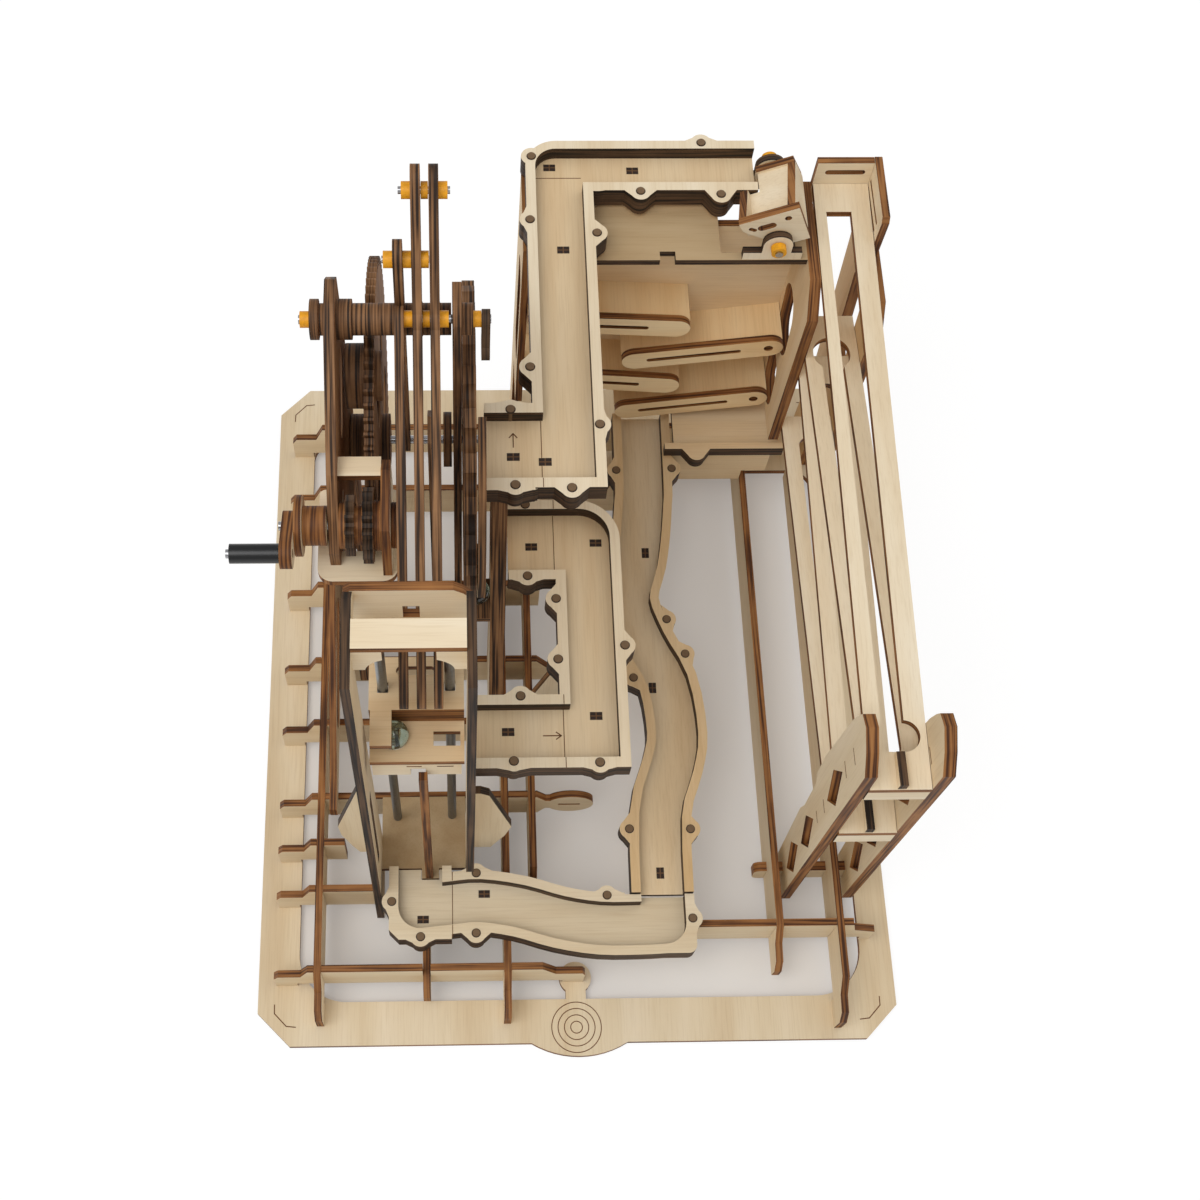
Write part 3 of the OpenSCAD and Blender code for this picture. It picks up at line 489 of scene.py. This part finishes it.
# x, y, top of the floor, quarter turned, slope
tabSpots = [
    (124.6, 266.2, topFloor, False, 0),
    (115.1, 174.7, topFloor, False, 0),
    (120.4, 304.8, topFloor, False, 0),
    (152.7, 303.3, topFloor, False, 0),
    (103.7, 176.8, topFloor, False, 0),
    (101.7, 94, middleFloor, False, 0),
    (134.6, 100, middleFloor, False, 0),
    (137.3, 171.6, middleFloor, False, 0),
    (112.2, 170.1, middleFloor, False, 0),
    (165.6, 202.5, 43.43, True, lowerSlope),
    (165.8, 141, 39.36, True, lowerSlope),
    (165.2, 62.1, 34.13, True, lowerSlope),
    (93.3, 55, frontFloor, False, 0),
    (68.5, 44.8, frontFloor, False, 0),
]


def bar(a, b, width, low, high, cap=0.6):
    # straight bar from a to b between two heights, longer by a share of its width
    length = math.hypot(b[0] - a[0], b[1] - a[1])
    turn = math.atan2(b[1] - a[1], b[0] - a[0])
    spot = place((a[0] + b[0]) / 2, (a[1] + b[1]) / 2, (low + high) / 2)
    bpy.ops.mesh.primitive_cube_add(size=1, location=spot, rotation=(0, 0, turn))
    block = bpy.context.object
    block.scale = ((length + width * cap) / 1000, width / 1000, (high - low) / 1000)
    return block


def joined(pieces):
    bpy.ops.object.select_all(action="DESELECT")
    for piece in pieces:
        piece.select_set(True)
    bpy.context.view_layer.objects.active = pieces[0]
    bpy.ops.object.transform_apply(location=True, rotation=True, scale=True)
    bpy.ops.object.join()
    return bpy.context.object


def makeTab(s):
    # four dark quarters on a brown plate, made at the origin of the scene
    x, y = originShift
    half, side = s["long"] / 2, s["short"] / 2
    inner = s["gap"] / 2
    plate = joined([bar((x - half, y), (x + half, y), s["short"], -s["sink"], s["plateRise"], 0)])
    quarters = []
    for sx in (-1, 1):
        for sy in (-1, 1):
            row = y + sy * (side + inner) / 2
            start, end = (x + sx * inner, row), (x + sx * half, row)
            quarters.append(bar(start, end, side - inner, -s["sink"], s["rise"], 0))
    return plate, joined(quarters)


for part, material in zip(makeTab(tabSet), (dowel, tabEnd)):
    for number, (x, y, z, turned, tilt) in enumerate(tabSpots):
        tab = part.copy()
        tab.data = part.data.copy()
        bpy.context.collection.objects.link(tab)
        turn = Matrix.Rotation(math.pi / 2 if turned else 0, 4, "Z")
        slope = Matrix.Rotation(math.radians(tilt), 4, "X")
        tab.data.transform(Matrix.Translation(place(x, y, z)) @ slope @ turn)
        settle(tab, f"{material.name}{number + 1}", material, "frame")
    bpy.data.objects.remove(part)
print("tab ends placed")


# burnt rims round the pins of the rails
rimSet = {"radius": 1.62, "wire": 0.24, "flat": 0.5, "foot": (0, 45, 30)}
# top of the rails, and the pins on them
rimSpots = {
    topRail: [
        (112, 276), (137.2, 269.8), (110.4, 210.8), (134.8, 186.7), (123.9, 161.1), (113.2, 305.7),
        (154.7, 289.1), (185.5, 287.6), (179.4, 312.1), (102.9, 193), (104, 162.4),
    ],
    middleRail: [
        (106.4, 106), (103.4, 80.7), (120.8, 145.4), (120.8, 120.6), (146.1, 126), (134.8, 79.9),
        (110, 185.6), (110.2, 155),
    ],
    lowerRail: [
        (152.8, 79.5), (177.8, 79.2), (157.3, 144.2), (179.7, 154.6), (172.6, 170.2), (153.9, 240.2),
        (178.4, 240.9),
    ],
    frontRail: [
        (90.1, 62.2), (89.8, 37.7), (142.8, 52.4), (176.9, 42.6), (56, 50.9), (67.6, 36.5),
    ],
}


def makeRim(s, spot, tilt):
    # rims of the lower track turn about the foot of its slope
    bpy.ops.mesh.primitive_torus_add(
        major_radius=s["radius"] / 1000, minor_radius=s["wire"] / 1000,
        major_segments=40, minor_segments=8)
    rim = bpy.context.object
    foot = place(*s["foot"])
    flat = Matrix.Translation(place(*spot) - foot) @ Matrix.Scale(s["flat"], 4, (0, 0, 1))
    slope = Matrix.Rotation(math.radians(tilt), 4, "X")
    rim.data.transform(Matrix.Translation(foot) @ slope @ flat)
    return rim


rims = []
for z, spots in rimSpots.items():
    for x, y in spots:
        rims.append(makeRim(rimSet, (x, y, z), lowerSlope if z == lowerRail else 0))
settle(joined(rims), "pinRims", tabEnd, "frame")
print("pins rimmed")


# lines burnt into the plates
lineSet = {
    "width": 0.42, "rise": 0.07, "sink": 0.2, "seamWidth": 0.3,
    "baseSize": (264, 310), "baseTop": 3.0, "corner": [(6.8, 17.0), (6.9, 13.4), (11.9, 8.2), (15.7, 7.8)],
    "bulge": (130.9, 6.2), "rings": (10.2, 7.6, 5.0, 2.4), "ringWire": 0.2, "ringFlat": 0.35,
    "markSides": (218.9, 245.2), "markWidth": 0.22, "markHalf": 0.2,
    "marks": [(65.4, 71.4, 160.2), (65.5, 71.6, 145.6), (65.0, 70.2, 105.8), (65.4, 70.0, 92.1)],
}
lineBlocks = []


def burnLine(points, z, width=lineSet["width"]):
    for a, b in zip(points, points[1:]):
        lineBlocks.append(bar(a, b, width, z - lineSet["sink"], z + lineSet["rise"]))


def burnRing(x, y, z, radius):
    bpy.ops.mesh.primitive_torus_add(
        location=place(x, y, z), major_radius=radius / 1000, minor_radius=lineSet["ringWire"] / 1000,
        major_segments=72, minor_segments=8)
    ring = bpy.context.object
    ring.scale = (1, 1, lineSet["ringFlat"])
    lineBlocks.append(ring)


baseWide, baseDeep = lineSet["baseSize"]
for flipX in (False, True):
    for flipY in (False, True):
        corner = [
            (baseWide - x if flipX else x, baseDeep - y if flipY else y) for x, y in lineSet["corner"]]
        burnLine(corner, lineSet["baseTop"])
for radius in lineSet["rings"]:
    burnRing(*lineSet["bulge"], lineSet["baseTop"], radius)
# arrows that show which way the marbles roll
burnLine([(114.7, 92.4), (121.4, 92.4)], middleFloor)
burnLine([(119.5, 93.8), (121.4, 92.4), (119.5, 91.0)], middleFloor)
burnLine([(103.8, 180.8), (103.8, 186.4)], topFloor)
burnLine([(102.4, 184.7), (103.8, 186.4), (105.2, 184.7)], topFloor)
# seams between the floor pieces and between their rails
seamSpots = [
    ((122.4, 82.1), (122.4, 102.5), middleFloor),
    ((122.4, 78.1), (122.4, 81.9), middleRail),
    ((122.4, 102.8), (122.4, 106.3), middleRail),
    ((120.9, 157.7), (120.9, 183.4), middleFloor),
    ((120.9, 183.8), (120.9, 187.3), middleRail),
    ((113.9, 165.4), (113.9, 191.4), topFloor),
    ((113.9, 161.5), (113.9, 165.0), topRail),
    ((114.8, 299.8), (132.4, 299.8), topFloor),
    ((80.4, 41.4), (80.4, 58.8), frontFloor),
    ((80.4, 36.2), (80.4, 41.0), frontRail),
    ((80.4, 59.3), (80.4, 62.6), frontRail),
]
for a, b, z in seamSpots:
    burnLine([a, b], z, lineSet["seamWidth"])
# short marks on the left faces of the bracket plates
for x in lineSet["markSides"]:
    for y0, y1, z in lineSet["marks"]:
        low, high = z - lineSet["markHalf"], z + lineSet["markHalf"]
        lineBlocks.append(bar((x, y0), (x, y1), lineSet["markWidth"], low, high))
settle(joined(lineBlocks), "burntLines", burntLine, "frame")
print("lines burnt in")


# floor, world and lamps, in metres
# shades are the shares of lit floor in what the camera sees, the rest is glow; under the part the floor
# gets a darker tone and less glow, as painted shadow of the part
floorSet = {
    "size": 6.0, "drop": 0.0004, "halfWide": 0.127, "halfDeep": 0.151, "fade": 0.012,
    # the darker tone under the part is painted shadow
    "roundTone": (0.9, 0.9, 0.9), "underTone": (0.80, 0.76, 0.71), "rough": 0.9,
    "roundShade": 0.22, "underShade": 0.85, "glow": 1.1,
}
worldSet = {"lightLevel": 0.55, "seenLevel": 1.0}
lampSet = {
    "keyLamp": {"spot": (-0.5, -0.4, 1.3), "size": 0.9, "power": 7.6},
    "fillLamp": {"spot": (0.9, 0.3, 1.0), "size": 1.2, "power": 1.6},
}


def makeFloor(s):
    bpy.ops.object.select_all(action="DESELECT")
    bpy.ops.mesh.primitive_plane_add(size=s["size"], location=(0, 0, -s["drop"]))
    floor = bpy.context.object
    floor.name = "paleFloor"
    m = Nodes("paleFloor")
    coords = m.add("ShaderNodeTexCoord")
    split = m.add("ShaderNodeSeparateXYZ")
    m.link(coords.outputs["Object"], split.inputs[0])
    # painted shadow mask: 1 under the part, 0 round it
    paintedShadeMask = m.add("ShaderNodeMath", operation="MULTIPLY")
    for index, half in enumerate((s["halfWide"], s["halfDeep"])):
        away = m.add("ShaderNodeMath", operation="ABSOLUTE")
        m.link(split.outputs[index], away.inputs[0])
        fade = m.add("ShaderNodeMapRange")
        fade.inputs["From Min"].default_value = half - s["fade"]
        fade.inputs["From Max"].default_value = half
        fade.inputs["To Min"].default_value = 1.0
        fade.inputs["To Max"].default_value = 0.0
        m.link(away.outputs[0], fade.inputs["Value"])
        m.link(fade.outputs[0], paintedShadeMask.inputs[index])
    # painted shadow: the floor's colour is darker under the part
    colour = mixColour(m, paintedShadeMask.outputs[0], s["roundTone"], s["underTone"])
    m.link(colour, m.shader.inputs["Base Color"])
    m.shader.inputs["Roughness"].default_value = s["rough"]
    share = m.add("ShaderNodeMapRange")
    share.inputs["To Min"].default_value = s["roundShade"]
    share.inputs["To Max"].default_value = s["underShade"]
    m.link(paintedShadeMask.outputs[0], share.inputs["Value"])
    glow = m.add("ShaderNodeEmission")
    glow.inputs["Color"].default_value = (1, 1, 1, 1)
    glow.inputs["Strength"].default_value = s["glow"]
    pale = m.add("ShaderNodeMixShader")
    m.link(share.outputs[0], pale.inputs[0])
    m.link(glow.outputs[0], pale.inputs[1])
    m.link(m.shader.outputs[0], pale.inputs[2])
    # seen straight, in metal or through glass the floor is the pale one
    path = m.add("ShaderNodeLightPath")
    seen = path.outputs["Is Camera Ray"]
    for kind in ("Is Glossy Ray", "Is Transmission Ray"):
        both = m.add("ShaderNodeMath", operation="MAXIMUM")
        m.link(seen, both.inputs[0])
        m.link(path.outputs[kind], both.inputs[1])
        seen = both.outputs[0]
    pick = m.add("ShaderNodeMixShader")
    m.link(seen, pick.inputs[0])
    m.link(m.shader.outputs[0], pick.inputs[1])
    m.link(pale.outputs[0], pick.inputs[2])
    m.link(pick.outputs[0], m.tree.nodes["Material Output"].inputs["Surface"])
    floor.data.materials.append(m.material)


def makeLamp(name, s):
    bpy.ops.object.light_add(type="AREA", location=s["spot"])
    lamp = bpy.context.object
    lamp.name = name
    lamp.data.energy = s["power"]
    lamp.data.size = s["size"]
    lamp.rotation_euler = (-Vector(s["spot"])).to_track_quat("-Z", "Y").to_euler()


def makeWorld(s):
    # white past the floor's end, dimmer as a light
    world = bpy.data.worlds.new("studio")
    bpy.context.scene.world = world
    world.use_nodes = True
    tree = world.node_tree
    background = tree.nodes["Background"]
    background.inputs["Color"].default_value = (1, 1, 1, 1)
    path = tree.nodes.new("ShaderNodeLightPath")
    level = tree.nodes.new("ShaderNodeMapRange")
    level.inputs["To Min"].default_value = s["lightLevel"]
    level.inputs["To Max"].default_value = s["seenLevel"]
    tree.links.new(path.outputs["Is Camera Ray"], level.inputs["Value"])
    tree.links.new(level.outputs[0], background.inputs["Strength"])


makeFloor(floorSet)
for name, settings in lampSet.items():
    makeLamp(name, settings)
makeWorld(worldSet)
bpy.context.scene.view_settings.view_transform = "Standard"
print("studio lit")
